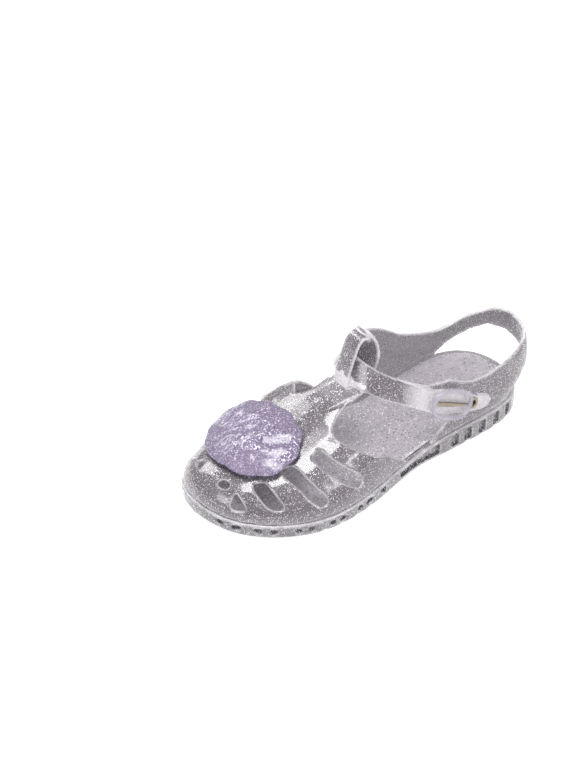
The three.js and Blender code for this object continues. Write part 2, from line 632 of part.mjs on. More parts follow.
// Cut or strip that follows the wall, between the lower and the upper edge of each row
function wallPatch(rows, steps, outDepth, inDepth) {
  const skin = (depth) => rows.map((row) => {
    const line = [];
    for (let i = 0; i <= steps; i += 1) {
      line.push(seamPoint(row.round, mix(row.low, row.high, i / steps), depth(row)));
    }
    return line;
  });
  return slabOf(skin(outDepth), skin(inDepth));
}

// Gap between two bands over the toes
function gapCut(rows, side) {
  const spaced = refine(rows, 2);
  const steps = 2;
  const skin = (depth) => spaced.map((row) => {
    const line = [];
    for (let i = 0; i <= steps; i += 1) {
      const t = i / steps;
      line.push(lastPoint(side * mix(row.rear, row.fore, t), mix(row.rearRise, row.foreRise, t), depth));
    }
    return line;
  });
  return slabOf(skin(-cutPast), skin(wall + cutPast));
}

// Ribbon through the rows of a table, of the tab's thickness, its edges bent down by the crown
function ribbon(rows, crown) {
  const centre = rows.map((row) => new THREE.Vector2(lengthAt(0.5 + row.along), row.up * instepHeight));
  const curve = new THREE.SplineCurve(centre);
  const pieces = 2 * (rows.length - 1);
  const widest = Math.max(...rows.map((row) => row.half)) * ballHalfWidth;
  const skin = (shift) => {
    const lines = [];
    for (let k = 0; k <= pieces; k += 1) {
      const t = k / pieces;
      const place = curve.getPoint(t);
      const way = curve.getTangent(t);
      const row = Math.min(rows.length - 2, Math.floor(t * (rows.length - 1)));
      const past = t * (rows.length - 1) - row;
      const half = mix(rows[row].half, rows[row + 1].half, past) * ballHalfWidth;
      const middle = mix(rows[row].aside, rows[row + 1].aside, past) * ballHalfWidth;
      const along = place.x + way.y * shift;
      const up = place.y - way.x * shift;
      lines.push([-1, -0.5, 0, 0.5, 1].map((side) => {
        const bend = crown * (side * half / widest) ** 2;
        return new THREE.Vector3(middle + side * half, along - way.y * bend, up + way.x * bend);
      }));
    }
    return lines;
  };
  return slabOf(skin(tabThickness / 2), skin(-tabThickness / 2));
}

// Cutter for the top of the shell on one side, over the ridge and past it
function topCutter(side) {
  const rows = [];
  for (let k = 0; k <= 7; k += 1) {
    const at = mix(topCut.from, topCut.to, k / 7);
    rows.push({ round: side * at, low: topCut.rise, high: at < ankleFront ? 1.25 : 1 });
  }
  return wallPatch(rows, 5, () => -cutPast, () => wall + cutPast);
}

// Ankle strap as one strip: end on the outer wall, stretch over the instep, root in the inner wall
function ankleStrap() {
  const steps = 4;
  const onWall = (rows, depth) => rows.map((row) => {
    const line = [];
    for (let i = 0; i <= steps; i += 1) {
      line.push(seamPoint(row.round, mix(row.low, row.high, i / steps), depth(row)));
    }
    return line;
  });
  const spot = (aside, along, up) => new THREE.Vector3(
    aside * ballHalfWidth, lengthAt(0.5 + along), up * instepHeight);
  const middle = refine(strapRows, 2).map((row) => ({
    high: spot(row.aside, row.along, row.up),
    low: spot(row.lowAside, row.lowAlong, row.lowUp),
  }));
  const across = (depth) => middle.map((row, k) => {
    const before = middle[Math.max(0, k - 1)];
    const after = middle[Math.min(middle.length - 1, k + 1)];
    const way = after.high.clone().add(after.low).sub(before.high).sub(before.low).normalize();
    const out = row.high.clone().sub(row.low).cross(way).normalize();
    if (out.z < 0) out.negate();
    const line = [];
    for (let i = 0; i <= steps; i += 1) {
      line.push(row.low.clone().lerp(row.high, i / steps).addScaledVector(out, -depth));
    }
    return line;
  });
  const end = refine(strapEnd, 1);
  const proud = (row) => -strapStep * row.lift;
  const sunk = (row) => mix(wall, wall / 2, clamp01((row.lift - 0.5) / 0.4));
  const outside = [...onWall(end, proud), ...across(0), ...onWall(strapRoot, proud)];
  const inside = [...onWall(end, sunk), ...across(wall), ...onWall(strapRoot, () => wall)];
  return slabOf(outside, inside);
}

// Place on the outer wall with its own directions: along the wall to the front, up it, and out of it
function wallFrame(at, rise, depth) {
  const step = 0.01;
  const place = lastPoint(-at, rise, depth);
  const fore = lastPoint(-(at + step), rise, depth).sub(lastPoint(-(at - step), rise, depth)).normalize();
  const up = lastPoint(-at, rise + step, depth).sub(lastPoint(-at, rise - step, depth)).normalize();
  const out = up.clone().cross(fore).normalize();
  if (out.x > 0) out.negate();
  const level = out.clone().cross(fore).normalize();
  if (level.z < 0) level.negate();
  return { place, fore, up: level, out };
}

// Body of revolution about the outward axis of a wall's frame
function turned(profile, frame, segments) {
  const geometry = new THREE.LatheGeometry(profile.map(([r, h]) => new THREE.Vector2(r, h)), segments);
  geometry.deleteAttribute('normal');
  geometry.deleteAttribute('uv');
  const turn = new THREE.Matrix4().makeBasis(frame.up, frame.out, frame.up.clone().cross(frame.out));
  geometry.applyMatrix4(turn);
  geometry.translate(frame.place.x, frame.place.y, frame.place.z);
  return mergeVertices(geometry, 1e-4);
}

// Largest body of a solid, without the crumbs that cuts leave along shared faces
function mainBody(solid) {
  const bodies = solid.decompose();
  return bodies.reduce((best, body) => (body.volume() > best.volume() ? body : best), bodies[0]);
}

function outward(geometry) {
  const solid = solidOf(geometry);
  if (solid.volume() > 0) return solid;
  const index = geometry.index.array;
  for (let k = 0; k < index.length; k += 3) [index[k], index[k + 1]] = [index[k + 1], index[k]];
  return solidOf(geometry);
}

// Upper: the hollow shell with its openings cut, the strap's free end, the tab and the flap
function makeUpper() {
  const through = [() => -cutPast, () => wall + cutPast];
  let solid = outward(lastShell());
  solid = solid.subtract(wallPatch(heelOpening, 5, ...through));
  solid = solid.subtract(wallPatch(outerThroat, 6, ...through));
  solid = solid.subtract(wallPatch(innerThroat, 6, ...through));
  vampGaps.forEach((rows) => {
    [-1, 1].forEach((side) => { solid = solid.subtract(gapCut(rows, side)); });
  });
  [-1, 1].forEach((side) => { solid = solid.subtract(topCutter(side)); });
  solid = solid.add(ankleStrap()).add(ribbon(tabRows, tabCrown)).add(ribbon(flapRows, 0));
  const hole = wallFrame(eyeletAt, eyeletRise, 0);
  const radius = eyeletTube + fitGap;
  const reach = wall + strapStep + cutPast;
  const drill = turned([[0, -reach], [radius, -reach], [radius, reach], [0, reach]], hole, 20);
  return mainBody(solid.subtract(outward(drill)));
}

// Sole's rings: each profile point is how far in from the edge and how high it is at a share of the length
function soleShares() {
  const count = 42;
  const list = [];
  for (let k = 0; k <= count; k += 1) list.push((1 - Math.cos((Math.PI * k) / count)) / 2);
  return list;
}

const shareOf = (y) => clamp01(y / soleLength + heelSeat);

function layeredSole(levels) {
  const shares = soleShares();
  const last = shares.length - 1;
  const triangles = [];
  const rings = levels.map(({ inset, height }) => [-1, 1].map((side) => shares.map((at, j) => {
    const { place, out } = edgePlace(side, edgeByShare(side, at));
    const point = place.clone().addScaledVector(out, -inset);
    if (j === 0 || j === last) {
      const other = edgePlace(-side, edgeByShare(-side, at));
      point.lerp(other.place.addScaledVector(other.out, -inset), 0.5);
    }
    point.z = height(shareOf(point.y));
    return point;
  })));
  const quad = (side, a, b, c, d) => {
    if (side < 0) addQuad(triangles, a, d, c, b);
    else addQuad(triangles, a, b, c, d);
  };
  for (let k = 0; k + 1 < rings.length; k += 1) {
    [-1, 1].forEach((side, s) => {
      const low = rings[k][s];
      const high = rings[k + 1][s];
      for (let j = 0; j < last; j += 1) quad(side, low[j], low[j + 1], high[j + 1], high[j]);
    });
  }
  const cap = ([outer, inner], up) => {
    for (let j = 0; j < last; j += 1) {
      if (up) addQuad(triangles, outer[j], inner[j], inner[j + 1], outer[j + 1]);
      else addQuad(triangles, outer[j], outer[j + 1], inner[j + 1], inner[j]);
    }
  };
  cap(rings[0], false);
  cap(rings[rings.length - 1], true);
  return outward(meshOf(triangles.filter(hasArea)));
}

// Whether a triangle has three different corners
function hasArea(t) {
  const a = new THREE.Vector3(...t.slice(0, 3));
  const b = new THREE.Vector3(...t.slice(3, 6));
  const c = new THREE.Vector3(...t.slice(6, 9));
  const near = 1e-4;
  return a.distanceTo(b) > near && b.distanceTo(c) > near && a.distanceTo(c) > near;
}

// Window in the sole's side between two shares; the heights it leaves open at its two ends are shares
function sideWindow(side, from, to, rearOpen, foreOpen, steps) {
  const outside = [];
  const inside = [];
  for (let k = 0; k <= steps; k += 1) {
    const at = mix(from, to, k / steps);
    const { place, out } = edgePlace(side, edgeByShare(side, at));
    const bottom = floorAt(at) + lipHigh;
    const top = rimAt(at) - rimDepth;
    const open = mix(rearOpen, foreOpen, k / steps);
    const near = place.clone().addScaledVector(out, 1);
    const deep = place.clone().addScaledVector(out, -windowDepth);
    const line = (p) => [new THREE.Vector3(p.x, p.y, mix(top, bottom, open)), new THREE.Vector3(p.x, p.y, top)];
    outside.push(line(near));
    inside.push(line(deep));
  }
  return slabOf(outside, inside);
}

// Share of the length that a stretch of the edge covers there
function edgeStretch(side, at, width) {
  const here = edgeByShare(side, at);
  const { out } = edgePlace(side, here);
  return Math.max(0.15, Math.abs(out.x)) * width / soleLength;
}

function makeOutsole() {
  const levels = [
    { inset: treadEdge, height: (at) => floorAt(at) },
    { inset: 0, height: (at) => floorAt(at) + lipLow },
    { inset: 0, height: (at) => floorAt(at) + lipHigh },
    { inset: 0, height: (at) => rimAt(at) - rimRound },
    { inset: rimRound * 0.3, height: (at) => rimAt(at) - rimRound * 0.3 },
    { inset: rimRound, height: (at) => rimAt(at) },
    { inset: rimWidth, height: (at) => rimAt(at) },
    { inset: rimWidth, height: (at) => rimAt(at) - seatDepth },
  ];
  let solid = layeredSole(levels);
  [-1, 1].forEach((side) => {
    heelWindows.forEach((at) => {
      const half = edgeStretch(side, at, heelWindow) / 2;
      solid = solid.subtract(sideWindow(side, at - half, at + half, 1, 1, 2));
    });
    foreWindows.forEach((at, k) => {
      const half = edgeStretch(side, at, foreWindow) / 2;
      const open = k % 2 === 0 ? [1, 0.15] : [0.15, 1];
      solid = solid.subtract(sideWindow(side, at - half, Math.min(0.998, at + half), ...open, 3));
    });
    solid = solid.subtract(sideWindow(side, archWindow.from, archWindow.to, 1, 1, 10));
  });
  const groove = (at) => {
    const box = new THREE.BoxGeometry(4 * ballHalfWidth, grooveWidth, 2 * grooveDepth);
    box.translate(0, at, 0);
    box.deleteAttribute('normal');
    box.deleteAttribute('uv');
    return outward(mergeVertices(box, 1e-4));
  };
  const row = (middle, count) => {
    for (let k = 0; k < count; k += 1) {
      const place = middle + (k - (count - 1) / 2) * groovePitch;
      solid = solid.subtract(groove(place));
    }
  };
  row(0, heelGrooves);
  row(lengthAt(foreGroovesAt), foreGrooves);
  return solid;
}

function makeFootbed() {
  const inset = rimWidth + fitGap;
  const low = (at) => rimAt(at) - seatDepth + fitGap;
  return layeredSole([
    { inset, height: low },
    { inset, height: (at) => low(at) + footbedThickness - footbedRound },
    { inset: inset + footbedRound, height: (at) => low(at) + footbedThickness },
  ]);
}

// Closed bar along a ring: its places, and for each the directions of its section
function ringBar(places, frames, across, outSize, segments) {
  const triangles = [];
  const rings = places.map((place, k) => {
    const list = [];
    for (let j = 0; j < segments; j += 1) {
      const a = (2 * Math.PI * (j + 0.5)) / segments;
      const point = place.clone().addScaledVector(frames[k].side, across * Math.cos(a));
      list.push(point.addScaledVector(frames[k].out, outSize * Math.sin(a)));
    }
    return list;
  });
  rings.forEach((ring, k) => {
    const next = rings[(k + 1) % rings.length];
    for (let j = 0; j < segments; j += 1) {
      const i = (j + 1) % segments;
      addQuad(triangles, ring[j], ring[i], next[i], next[j]);
    }
  });
  return outward(meshOf(triangles));
}

// Frame of the buckle: its middle over the strap's free end, with its long way sloping to the back
function buckleFrame() {
  const over = strapStep + fitGap + buckleBar / 2 + 0.35;
  const frame = wallFrame(buckleAt, buckleRise, -over);
  const level = new THREE.Vector3(0, 1, 0).addScaledVector(frame.out, -frame.out.y).normalize();
  const long = level.applyAxisAngle(frame.out, THREE.MathUtils.degToRad(-buckleDrop));
  if (long.z < 0) long.applyAxisAngle(frame.out, THREE.MathUtils.degToRad(2 * buckleDrop));
  const tall = frame.out.clone().cross(long).normalize();
  if (tall.z < 0) tall.negate();
  return { place: frame.place, long, tall, out: frame.out };
}

function makeBuckleRing() {
  const { place, long, tall, out } = buckleFrame();
  const count = 32;
  const places = [];
  const frames = [];
  for (let k = 0; k < count; k += 1) {
    const a = (2 * Math.PI * k) / count;
    const power = 2 / buckleSquare;
    const x = Math.sign(Math.cos(a)) * Math.abs(Math.cos(a)) ** power * (buckleLong - buckleBar) / 2;
    const y = Math.sign(Math.sin(a)) * Math.abs(Math.sin(a)) ** power * (buckleTall - buckleBar) / 2;
    places.push(place.clone().addScaledVector(long, x).addScaledVector(tall, y));
    const side = long.clone().multiplyScalar(x / buckleLong ** 2).addScaledVector(tall, y / buckleTall ** 2);
    frames.push({ side: side.normalize(), out });
  }
  return ringBar(places, frames, buckleBar / 2, buckleBar / 2, 6);
}

// Prong: a flat bar inside the ring, from its front bar to its back bar
function makeProng() {
  const { place, long, tall, out } = buckleFrame();
  const half = buckleLong / 2 - buckleBar - fitGap;
  const box = new THREE.BoxGeometry(2 * half, prongWidth, prongThickness, 6, 1, 1);
  box.deleteAttribute('normal');
  box.deleteAttribute('uv');
  const points = box.attributes.position;
  for (let k = 0; k < points.count; k += 1) {
    const t = points.getX(k) / half;
    const narrow = mix(1, 0.45, clamp01((0.2 - t) / 1.2));
    points.setY(k, points.getY(k) * narrow);
    points.setZ(k, points.getZ(k) - buckleBar / 2 + prongThickness / 2 + 0.6 * (1 - t * t));
  }
  box.applyMatrix4(new THREE.Matrix4().makeBasis(long, tall, out));
  box.translate(place.x, place.y, place.z);
  return outward(mergeVertices(box, 1e-4));
}

function makeEyelet() {
  const frame = wallFrame(eyeletAt, eyeletRise, 0);
  const inner = -(wall + fitGap);
  const outer = strapStep + fitGap;
  const profile = [
    [eyeletBore, inner - eyeletSheet],
    [eyeletFlange, inner - eyeletSheet],
    [eyeletFlange, inner],
    [eyeletTube, inner],
    [eyeletTube, outer],
    [eyeletFlange - 0.6, outer],
    [eyeletFlange - 0.6, outer + eyeletSheet],
    [eyeletBore, outer + eyeletSheet],
    [eyeletBore, inner - eyeletSheet],
  ];
  return outward(turned(profile, frame, 16));
}

// Scallop shell: a fan whose ribs spread from a hinge at the toe end, bent over the foot
function shellFrame() {
  const y = lengthAt(shellAt);
  let low = ankleFront;
  let high = 1;
  for (let k = 0; k < 40; k += 1) {
    const mid = (low + high) / 2;
    if (lengthAt(read(ridgeRows, mid, 'along')) < y) low = mid;
    else high = mid;
  }
  const ridge = read(ridgeRows, low, 'up') * instepHeight;
  const pitch = THREE.MathUtils.degToRad(shellPitch);
  const up = new THREE.Vector3(0, Math.sin(pitch), Math.cos(pitch));
  const fore = new THREE.Vector3(0, Math.cos(pitch), -Math.sin(pitch));
  const place = new THREE.Vector3(shellAside * ballHalfWidth, y, ridge + shellOver);
  const swing = THREE.MathUtils.degToRad(shellSwing);
  const aside = new THREE.Vector3(1, 0, 0).applyAxisAngle(up, swing);
  fore.applyAxisAngle(up, swing);
  return { place, up, fore, aside };
}

// How far the shell's edge is from its middle in a direction, and the height of its face
const hingeAt = { aside: 0.155, fore: 0.46 };
const fanAngle = (x, y) => Math.atan2(x - hingeAt.aside * shellWide, hingeAt.fore * shellLong - y);
const fanRib = (fan) => Math.abs(Math.cos((Math.PI * fan) / THREE.MathUtils.degToRad(shellRibTurn)));
function shellReach(angle) {
  const a = shellWide / 2;
  const b = shellLong / 2;
  const c = Math.abs(Math.cos(angle));
  const s = Math.abs(Math.sin(angle));
  const even = ((c / a) ** shellSquare + (s / b) ** shellSquare) ** (-1 / shellSquare);
  const turn = THREE.MathUtils.degToRad(shellTurn);
  const fan = fanAngle(Math.cos(angle) * even, Math.sin(angle) * even) - turn;
  const away = clamp01(1.15 - Math.abs(fan) / THREE.MathUtils.degToRad(shellLobeSpread)) ** 0.5;
  const lobe = fanRib(fan);
  return even * (1 - shellLobe * away * (1 - lobe));
}

function shellHeight(x, y, share) {
  const turn = THREE.MathUtils.degToRad(shellTurn);
  const fan = fanAngle(x, y) - turn;
  const reach = Math.hypot(x - hingeAt.aside * shellWide, hingeAt.fore * shellLong - y);
  const far = clamp01(reach / shellRibStart);
  const edge = clamp01((1 - share) / shellRim);
  const rib = shellRibRise * (fanRib(fan) - 0.5) * far * edge;
  return shellDome * (1 - share ** shellFlat) + rib;
}

function shellSlab(scale, low, high, angles, rings, lowRingCount) {
  const { place, up, fore, aside } = shellFrame();
  const at = (x, y, h) => {
    const bent = h - x * x / (2 * shellBend);
    return place.clone().addScaledVector(aside, x).addScaledVector(fore, y).addScaledVector(up, bent);
  };
  const triangles = [];
  const ring = (share, height) => {
    const list = [];
    for (let j = 0; j < angles; j += 1) {
      const a = (2 * Math.PI * j) / angles;
      const r = shellReach(a) * scale * share;
      const x = r * Math.cos(a);
      const y = r * Math.sin(a);
      list.push(at(x, y, height(x, y, share)));
    }
    return list;
  };
  const topRings = [];
  const lowRings = [];
  for (let k = 1; k <= rings; k += 1) topRings.push(ring(k / rings, high));
  for (let k = 1; k <= lowRingCount; k += 1) lowRings.push(ring(k / lowRingCount, low));
  const topMiddle = at(0, 0, high(0, 0, 0));
  const lowMiddle = at(0, 0, low(0, 0, 0));
  for (let j = 0; j < angles; j += 1) {
    const i = (j + 1) % angles;
    triangles.push([...topMiddle.toArray(), ...topRings[0][j].toArray(), ...topRings[0][i].toArray()]);
    triangles.push([...lowMiddle.toArray(), ...lowRings[0][i].toArray(), ...lowRings[0][j].toArray()]);
    for (let k = 0; k + 1 < rings; k += 1) {
      addQuad(triangles, topRings[k][j], topRings[k + 1][j], topRings[k + 1][i], topRings[k][i]);
    }
    for (let k = 0; k + 1 < lowRingCount; k += 1) {
      addQuad(triangles, lowRings[k][i], lowRings[k + 1][i], lowRings[k + 1][j], lowRings[k][j]);
    }
    const top = topRings[rings - 1];
    const bottom = lowRings[lowRingCount - 1];
    addQuad(triangles, top[j], bottom[j], bottom[i], top[i]);
  }
  return outward(meshOf(triangles));
}

function makeShell() {
  const face = (x, y, share) => shellEdge / 2 + shellHeight(x, y, share);
  return shellSlab(1, () => -shellEdge / 2, face, 72, 6, 2);
}

// Plate under the shell
function makeShellBase() {
  const top = -shellEdge / 2 - fitGap;
  return shellSlab(baseShare, () => top - baseThickness, () => top, 48, 2, 2);
}

// The sandal
const finishes = {
  clear: { color: 0xd9d6dc, roughness: 0.22, metalness: 0 },
  bed: { color: 0xd3ced6, roughness: 0.4, metalness: 0 },
  lavender: { color: 0xb9a9dc, roughness: 0.3, metalness: 0 },
  buckle: { color: 0xdcd9ea, roughness: 0.25, metalness: 0 },
  brass: { color: 0xb59b5a, roughness: 0.35, metalness: 1 },
  steel: { color: 0x9c9384, roughness: 0.35, metalness: 1 },
};
const pieces = [
  ['outsole', makeOutsole, 'clear'],
  ['footbed', makeFootbed, 'bed'],
  ['upper', makeUpper, 'clear'],
  ['shell', makeShell, 'lavender'],
  ['shell_base', makeShellBase, 'lavender'],
  ['buckle_frame', makeBuckleRing, 'buckle'],
  ['buckle_prong', makeProng, 'steel'],
  ['eyelet', makeEyelet, 'brass'],
];
const sandal = new THREE.Group();
pieces.forEach(([name, make, finish]) => {
  const mesh = new THREE.Mesh(geometryOf(make()), new THREE.MeshStandardMaterial(finishes[finish]));
  mesh.name = name;
  sandal.add(mesh);
});
export default sandal;
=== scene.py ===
import bpy
import math
from mathutils import Matrix, Vector
from mathutils.bvhtree import BVHTree


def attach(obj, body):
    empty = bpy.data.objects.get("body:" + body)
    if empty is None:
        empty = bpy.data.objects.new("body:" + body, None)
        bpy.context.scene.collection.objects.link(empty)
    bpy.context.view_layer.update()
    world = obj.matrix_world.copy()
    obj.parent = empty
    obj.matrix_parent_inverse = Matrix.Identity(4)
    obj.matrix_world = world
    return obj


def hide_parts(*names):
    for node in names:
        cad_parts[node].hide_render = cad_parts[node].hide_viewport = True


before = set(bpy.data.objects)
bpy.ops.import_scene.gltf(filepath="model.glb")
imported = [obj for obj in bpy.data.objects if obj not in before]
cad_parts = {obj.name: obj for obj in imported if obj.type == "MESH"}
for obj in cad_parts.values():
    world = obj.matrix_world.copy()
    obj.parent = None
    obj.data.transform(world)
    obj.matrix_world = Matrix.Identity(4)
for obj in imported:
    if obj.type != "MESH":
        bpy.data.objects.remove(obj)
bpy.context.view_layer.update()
print("frame loaded:", ", ".join(sorted(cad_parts)))


# Mesh helpers


def pickOnly(thing):
    bpy.ops.object.select_all(action="DESELECT")
    thing.select_set(True)
    bpy.context.view_layer.objects.active = thing


def applyModifier(thing, kind, **settings):
    pickOnly(thing)
    added = thing.modifiers.new(kind.title(), kind)
    for key, value in settings.items():
        setattr(added, key, value)
    bpy.ops.object.modifier_apply(modifier=added.name)


def mouldedCopy(nodeName, pieceName, skin):
    # the CAD solid once more, as one skin with the soft edges of a moulding
    piece = bpy.data.objects.new(pieceName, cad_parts[nodeName].data.copy())
    bpy.context.scene.collection.objects.link(piece)
    pickOnly(piece)
    bpy.ops.object.mode_set(mode="EDIT")
    bpy.ops.mesh.select_all(action="SELECT")
    bpy.ops.mesh.remove_doubles(threshold=skin["merge"])
    bpy.ops.object.mode_set(mode="OBJECT")
    grain = skin["grain"] * 1.0
    applyModifier(piece, "REMESH", mode="VOXEL", voxel_size=grain, use_smooth_shade=True)
    applyModifier(piece, "SMOOTH", factor=skin["softness"], iterations=skin["rounds"])
    piece.data.materials.clear()
    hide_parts(nodeName)
    return piece


def finishPiece(piece, material):
    piece.data.materials.append(material)
    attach(piece, "root")


def soften(value, start, end):
    share = min(max((value - start) / (end - start), 0), 1)
    return share * share * (3 - 2 * share)


def addValues(piece, name, values):
    layer = piece.data.attributes.new(name, "FLOAT", "POINT")
    layer.data.foreach_set("value", values)


def rayTree(mesh):
    return BVHTree.FromPolygons([v.co for v in mesh.vertices], [f.vertices for f in mesh.polygons])


def addCavities(piece, reach):
    # per vertex, how far inside a recess it lies: the share of slanted rays that meet the piece again; this
    # masks the painted shade in the recesses
    tree = rayTree(piece.data)
    spread = reach["rays"]
    cavities = []
    for vertex in piece.data.vertices:
        normal = vertex.normal
        across = normal.orthogonal().normalized()
        along = normal.cross(across)
        start = vertex.co + normal * reach["lift"]
        met = 0
        for step in range(spread):
            angle = 2 * math.pi * step / spread
            ray = normal + (across * math.cos(angle) + along * math.sin(angle)) * reach["slant"]
            met += tree.ray_cast(start, ray.normalized(), reach["far"])[0] is not None
        cavities.append(met / spread)
    addValues(piece, "cavity", cavities)


def addDepths(piece, reach):
    # per vertex, how deep the plastic is behind it, as a share of the deepest that is looked for; this
    # masks the painted edge glow
    tree = rayTree(piece.data)
    thick = reach["thick"]
    depths = []
    for vertex in piece.data.vertices:
        start = vertex.co - vertex.normal * reach["lift"]
        behind = tree.ray_cast(start, -vertex.normal, thick)[3]
        depths.append((behind or thick) / thick)
    addValues(piece, "depth", depths)


# Shader maths

class Wire:
    # a socket of a shader tree; an expression on it adds its Math nodes

    def __init__(self, tree, socket=None):
        self.tree = tree
        self.socket = socket

    def node(self, kind, settings=None, sockets=None, output=0):
        made = self.tree.nodes.new(kind)
        for key, value in (settings or {}).items():
            if key == "stops":
                ramp = made.color_ramp
                while len(ramp.elements) < len(value):
                    ramp.elements.new(0.5)
                for stop, (place, shade) in zip(ramp.elements, value):
                    stop.position = place
                    stop.color = shade
            else:
                setattr(made, key, value)
        for key, value in (sockets or {}).items():
            if isinstance(value, Wire):
                self.tree.links.new(value.socket, made.inputs[key])
            else:
                made.inputs[key].default_value = value
        return Wire(self.tree, made.outputs[output])

    def also(self, output):
        return Wire(self.tree, self.socket.node.outputs[output])

    def maths(self, operation, first, second):
        return self.node("ShaderNodeMath", {"operation": operation}, {0: first, 1: second})

    def __add__(self, other):
        return self.maths("ADD", self, other)

    def __radd__(self, other):
        return self.maths("ADD", other, self)

    def __mul__(self, other):
        return self.maths("MULTIPLY", self, other)

    def __rmul__(self, other):
        return self.maths("MULTIPLY", other, self)

    def __gt__(self, other):
        return self.maths("GREATER_THAN", self, other)

    def __lt__(self, other):
        return self.maths("LESS_THAN", self, other)


def newFinish(name, constants):
    material = bpy.data.materials.new(name)
    material.use_nodes = True
    surface = material.node_tree.nodes["Principled BSDF"]
    for key, value in constants.items():
        surface.inputs[key].default_value = value
    return material, surface, Wire(material.node_tree)


def feed(surface, **wires):
    for key, wire in wires.items():
        wire.tree.links.new(wire.socket, surface.inputs[key.replace("_", " ")])


def blendColours(wire, amount, first, second):
    return wire.node("ShaderNodeMix", {"data_type": "RGBA"}, {0: amount, 6: first, 7: second}, 2)


def flakeLayer(wire, place, flake):
    # flakes of glitter: each cell has its chance of a flake, its shade and its tilt
    cell = wire.node("ShaderNodeTexVoronoi", {"feature": "F1"},
                     {"Vector": place, "Scale": 1 / flake["size"]}, "Distance")
    chance = wire.node("ShaderNodeSeparateColor", None, {0: cell.also("Color")}, 0)
    there = (chance > 1 - flake["share"]) * (cell < flake["reach"])
    return there, chance.also(1), cell.also("Color")


def tiltedNormal(wire, base, there, tilt, amount):
    centred = wire.node("ShaderNodeVectorMath", {"operation": "SUBTRACT"},
                        {0: tilt, 1: (0.5, 0.5, 0.5)})
    masked = wire.node("ShaderNodeVectorMath", {"operation": "SCALE"},
                       {0: centred, "Scale": there * amount})
    summed = wire.node("ShaderNodeVectorMath", {"operation": "ADD"}, {0: base, 1: masked})
    return wire.node("ShaderNodeVectorMath", {"operation": "NORMALIZE"}, {0: summed})


def letThrough(wire, surface, shade):
    # lamps shine through the plastic, so what lies behind it stays bright
    shadowRay = wire.node("ShaderNodeLightPath", None, None, "Is Shadow Ray")
    clear = wire.node("ShaderNodeBsdfTransparent", None, {"Color": (shade, shade, shade, 1)})
    solid = Wire(wire.tree, surface.outputs["BSDF"])
    mixed = wire.node("ShaderNodeMixShader", None, {0: shadowRay, 1: solid, 2: clear})
    wire.tree.links.new(mixed.socket, wire.tree.nodes["Material Output"].inputs["Surface"])


def glitterFinish(name, look):
    material, surface, wire = newFinish(name, look["constants"])
    place = wire.node("ShaderNodeTexCoord", None, None, "Object")
    fine, fineShade, fineTilt = flakeLayer(wire, place, look["fine"])
    coarse, coarseShade, coarseTilt = flakeLayer(wire, place, look["coarse"])
    cloud = wire.node("ShaderNodeTexNoise", None,
                      {"Vector": place, "Scale": look["cloudScale"], "Detail": look["cloudDetail"],
                       "Roughness": look["cloudRoughness"]})
    body = blendColours(wire, cloud, look["dark"], look["light"])
    # painted glow: convex edges, where pointiness is high, are blended to a lighter colour; on the shell
    # the same blend gives its own violet rim tint
    start, end = look["edgeReach"]
    ridge = wire.node("ShaderNodeNewGeometry", None, None, "Pointiness")
    edge = wire.node("ShaderNodeMapRange", {"clamp": True},
                     {"Value": ridge, "From Min": start, "From Max": end})
    body = blendColours(wire, edge, body, look["edge"])
    for layer in look["layers"]:
        held = wire.node("ShaderNodeAttribute", {"attribute_name": layer["attribute"]}, None, "Fac")
        start, end = layer["reach"]
        amount = wire.node("ShaderNodeMapRange", {"clamp": True},
                           {"Value": held, "From Min": start, "From Max": end, "To Max": layer["share"]})
        body = blendColours(wire, amount, body, layer["colour"])
    fineColour = blendColours(wire, fineShade, look["flakeDark"], look["flakeLight"])
    coarseColour = blendColours(wire, coarseShade, look["flakeDark"], look["flakeLight"])
    colour = blendColours(wire, fine, body, fineColour)
    colour = blendColours(wire, coarse, colour, coarseColour)
    both = wire.maths("MAXIMUM", fine, coarse)
    wobble = wire.node("ShaderNodeTexNoise", None,
                       {"Vector": place, "Scale": look["wobbleScale"], "Detail": look["wobbleDetail"]})
    bump = wire.node("ShaderNodeBump", None,
                     {"Strength": look["wobble"], "Distance": look["wobbleRise"], "Height": wobble})
    tilt = blendColours(wire, coarse, fineTilt, coarseTilt)
    normal = tiltedNormal(wire, bump, both, tilt, look["tilt"])
    feed(surface, Base_Color=colour, Normal=normal,
         Roughness=look["roughness"] + both * (look["flakeRoughness"] - look["roughness"]),
         Metallic=both * look["flakeMetal"])
    if look["alpha"] < 1:
        feed(surface, Alpha=look["alpha"] + both * (look["flakeAlpha"] - look["alpha"]))
        letThrough(wire, surface, look["shade"])
    return material


# painted glow: cut edges are given a lighter colour, standing in for the light that runs along inside the
# wall to them
paintedEdgeGlow = {"attribute": "depth", "reach": (0.62, 0.9), "share": 0.75, "colour": (0.78, 0.75, 0.79, 1)}
# painted shade: the sole's recesses and windows are darkened towards near black where the cavity share is
# high
paintedRecessShade = {"attribute": "cavity", "reach": (0.1, 0.42), "share": 0.9, "colour": (0.03, 0.025, 0.034, 1)}
clearLook = {
    "constants": {"IOR": 1.5, "Coat Weight": 0.9, "Coat Roughness": 0.11},
    "fine": {"size": 0.00042, "share": 0.24, "reach": 0.5},
    "coarse": {"size": 0.0008, "share": 0.06, "reach": 0.35},
    "cloudScale": 55.0,
    "cloudDetail": 3.0,
    "cloudRoughness": 0.6,
    "dark": (0.092, 0.079, 0.092, 1),
    "light": (0.22, 0.197, 0.22, 1),
    # painted glow colour for convex edges
    "edge": (0.72, 0.69, 0.73, 1),
    "edgeReach": (0.515, 0.56),
    "flakeDark": (0.1, 0.09, 0.11, 1),
    "flakeLight": (0.95, 0.93, 0.97, 1),
    "roughness": 0.2,
    "flakeRoughness": 0.28,
    "flakeMetal": 0.2,
    "wobbleScale": 160.0,
    "wobbleDetail": 2.0,
    "wobbleRise": 0.0004,
    "wobble": 0.2,
    "tilt": 0.35,
    "alpha": 0.74,
    "flakeAlpha": 0.9,
    "shade": 0.74,
    "layers": [paintedEdgeGlow],
}
